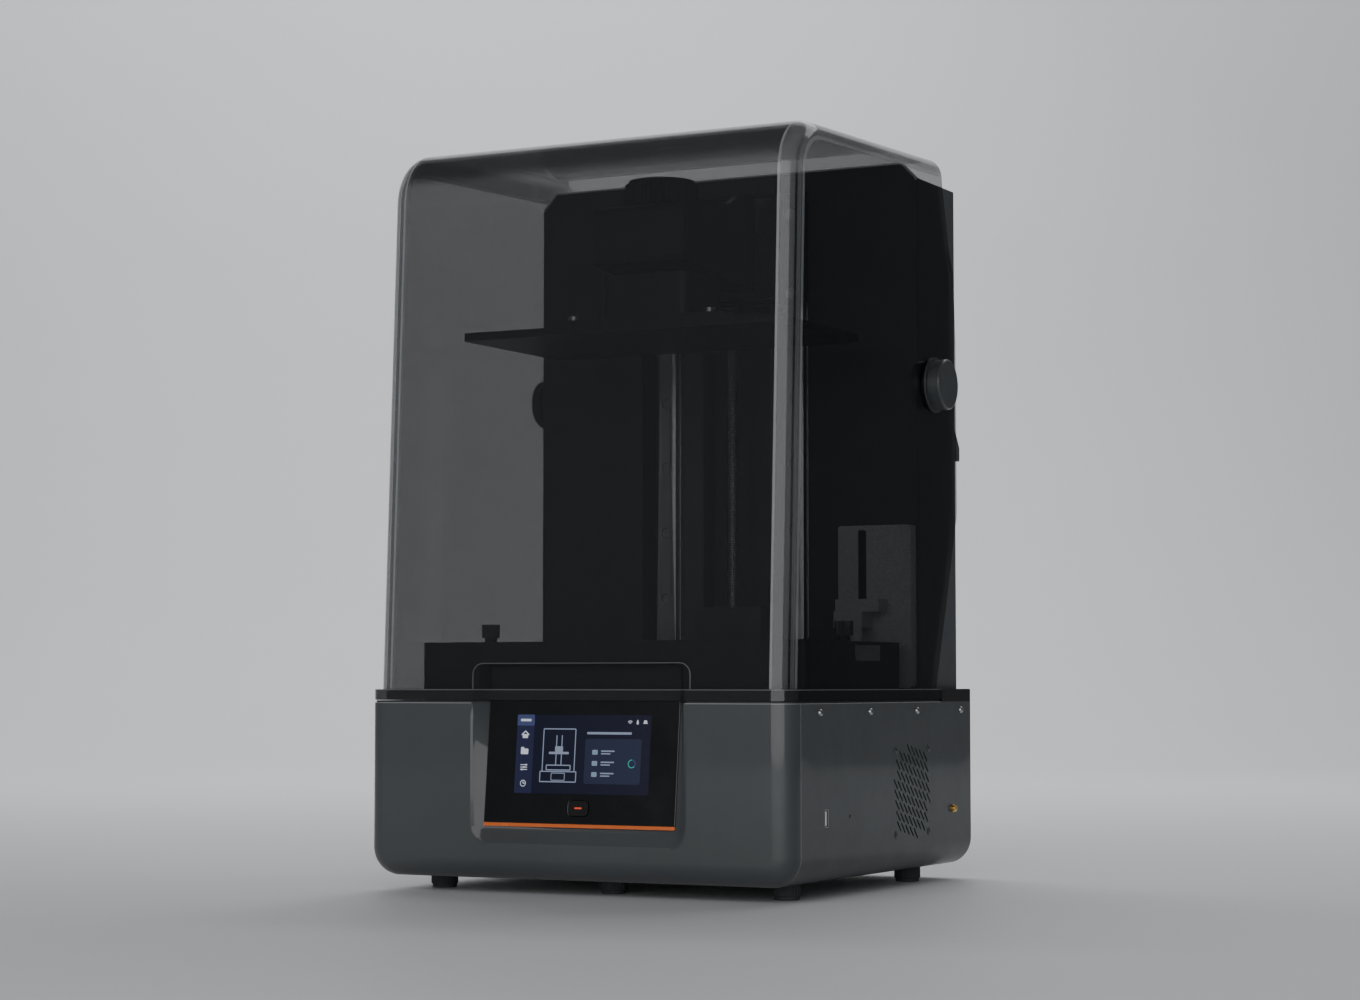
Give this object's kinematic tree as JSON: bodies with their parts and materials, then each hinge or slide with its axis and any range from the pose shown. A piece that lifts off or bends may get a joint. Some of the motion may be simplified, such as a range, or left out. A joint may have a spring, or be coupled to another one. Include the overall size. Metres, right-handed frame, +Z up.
{
  "type": "resin printer",
  "caption": "Desktop resin 3D printer: dark grey base with tilted touch panel, vat and lit screen, tower with lead screw, build platform and smoked flip-up hood.",
  "frame": {"origin": "on the floor under the middle of the base", "axes": "+X to the right seen from the front, +Y to the rear, +Z up"},
  "size_m": [0.414, 0.38, 0.643],
  "materials": {
    "base_paint": "fine matt texture, dark grey",
    "fascia_plastic": "satin moulded plastic, dark grey",
    "black_plastic": "fine spark texture, black",
    "tower_paint": "satin powder coat, black",
    "black_anodised": "black anodised, bead blasted",
    "bright_steel": "ground",
    "motor_steel": "satin",
    "bare_aluminium": "extruded",
    "rubber": "matt",
    "panel_glass": "polished black",
    "circuit_board": "solder resist",
    "accent_orange": "glossy orange",
    "brass": "turned",
    "film_clear": "clear film",
    "module_plastic": "speckled grey, textured",
    "smoked_plastic": "polished, smoked, see-through"
  },
  "bodies": {
    "base": {"accent_strip": "accent_orange", "antenna_connector": "brass", "base_tray": "base_paint", "case_screws": "bright_steel", "deck_plate": "black_plastic", "deck_rim": "black_plastic", "display_module": "black_plastic", "feed_module": "module_plastic", "front_fascia": "fascia_plastic", "hinge_pins": "bright_steel", "hood_seal": "rubber", "lcd_frame": "black_anodised", "lcd_glass": "panel_glass", "lcd_panel": "panel_glass", "led_heatsink": "bare_aluminium", "led_module": "circuit_board", "lens_array": "black_plastic", "light_fan_frame": "black_plastic", "light_housing": "black_plastic", "limit_switch": "black_plastic", "linear_rails": "bright_steel", "lower_bearing_block": "black_anodised", "mainboard": "circuit_board", "power_inlet": "black_plastic", "power_supply": "motor_steel", "rail_screws": "bright_steel", "rear_grip": "base_paint", "rear_panel": "base_paint", "rubber_feet": "rubber", "side_fan_frame": "black_plastic", "switch_housing": "black_plastic", "touch_glass": "panel_glass", "tower_column": "black_anodised", "tower_front_plate": "tower_paint", "tower_rear_cover": "base_paint", "upper_bearing_block": "black_anodised", "usb_port": "bright_steel", "vat_body": "black_anodised", "vat_film": "film_clear", "vat_film_frame": "black_anodised", "z_motor": "motor_steel"},
    "hood": {"hood_shell": "smoked_plastic", "hinge_cap_left": "base_paint", "hinge_cap_right": "base_paint"},
    "carriage": {"carriage_blocks": "bright_steel", "carriage_plate": "black_anodised", "z_arm": "black_anodised", "lead_nut": "brass", "platform_mount": "black_anodised", "build_plate": "black_anodised", "arm_screws": "bright_steel"},
    "lead_screw": {"lead_screw": "bright_steel"},
    "platform_knob": {"platform_knob": "black_plastic"},
    "thumb_screw_left": {"thumb_screw_left": "black_anodised"},
    "thumb_screw_right": {"thumb_screw_right": "black_anodised"},
    "power_button": {"power_button": "black_plastic"},
    "power_rocker": {"power_rocker": "black_plastic"},
    "side_fan_rotor": {"side_fan_rotor": "black_plastic"},
    "light_fan_rotor": {"light_fan_rotor": "black_plastic"},
    "feed_arm": {"feed_arm": "module_plastic"}
  },
  "joints": [
    {"name": "hood_hinge", "type": "hinge", "parent": "base", "child": "hood", "pos_m": [0, 0.12, 0.437], "axis": [-1, 0, 0], "range_deg": [0, 88]},
    {"name": "z_slide", "type": "slide", "parent": "base", "child": "carriage", "axis": [0, 0, 1], "range_m": [-0.299, 0.005]},
    {"name": "lead_screw_spin", "type": "hinge", "parent": "base", "child": "lead_screw", "pos_m": [0, 0.108, 0.36], "axis": [0, 0, 1], "continuous": true},
    {"name": "platform_knob_turn", "type": "hinge", "parent": "carriage", "child": "platform_knob", "pos_m": [0, -0.031, 0.597], "axis": [0, 0, 1], "continuous": true},
    {"name": "thumb_left_turn", "type": "hinge", "parent": "base", "child": "thumb_screw_left", "pos_m": [-0.172, -0.031, 0.2], "axis": [0, 0, 1], "continuous": true},
    {"name": "thumb_right_turn", "type": "hinge", "parent": "base", "child": "thumb_screw_right", "pos_m": [0.172, -0.031, 0.2], "axis": [0, 0, 1], "continuous": true},
    {"name": "power_button_press", "type": "slide", "parent": "base", "child": "power_button", "axis": [0, 0.9951, -0.0993], "range_m": [0, 0.001], "stiffness_N_per_m": 1000, "springref_m": -0.0005},
    {"name": "rocker_tilt", "type": "hinge", "parent": "base", "child": "power_rocker", "pos_m": [-0.058, 0.1835, 0.066], "axis": [1, 0, 0], "range_deg": [0, 20]},
    {"name": "side_fan_spin", "type": "hinge", "parent": "base", "child": "side_fan_rotor", "pos_m": [0.183, 0.053, 0.082], "axis": [1, 0, 0], "continuous": true},
    {"name": "light_fan_spin", "type": "hinge", "parent": "base", "child": "light_fan_rotor", "pos_m": [0, -0.031, 0.032], "axis": [0, 0, 1], "continuous": true},
    {"name": "feed_arm_slide", "type": "slide", "parent": "base", "child": "feed_arm", "axis": [0, 0, 1], "range_m": [0, 0.05]}
  ],
  "couplings": [
    {"joint": "lead_screw_spin", "follows": "z_slide", "rad_per_m": 785.4}
  ]
}
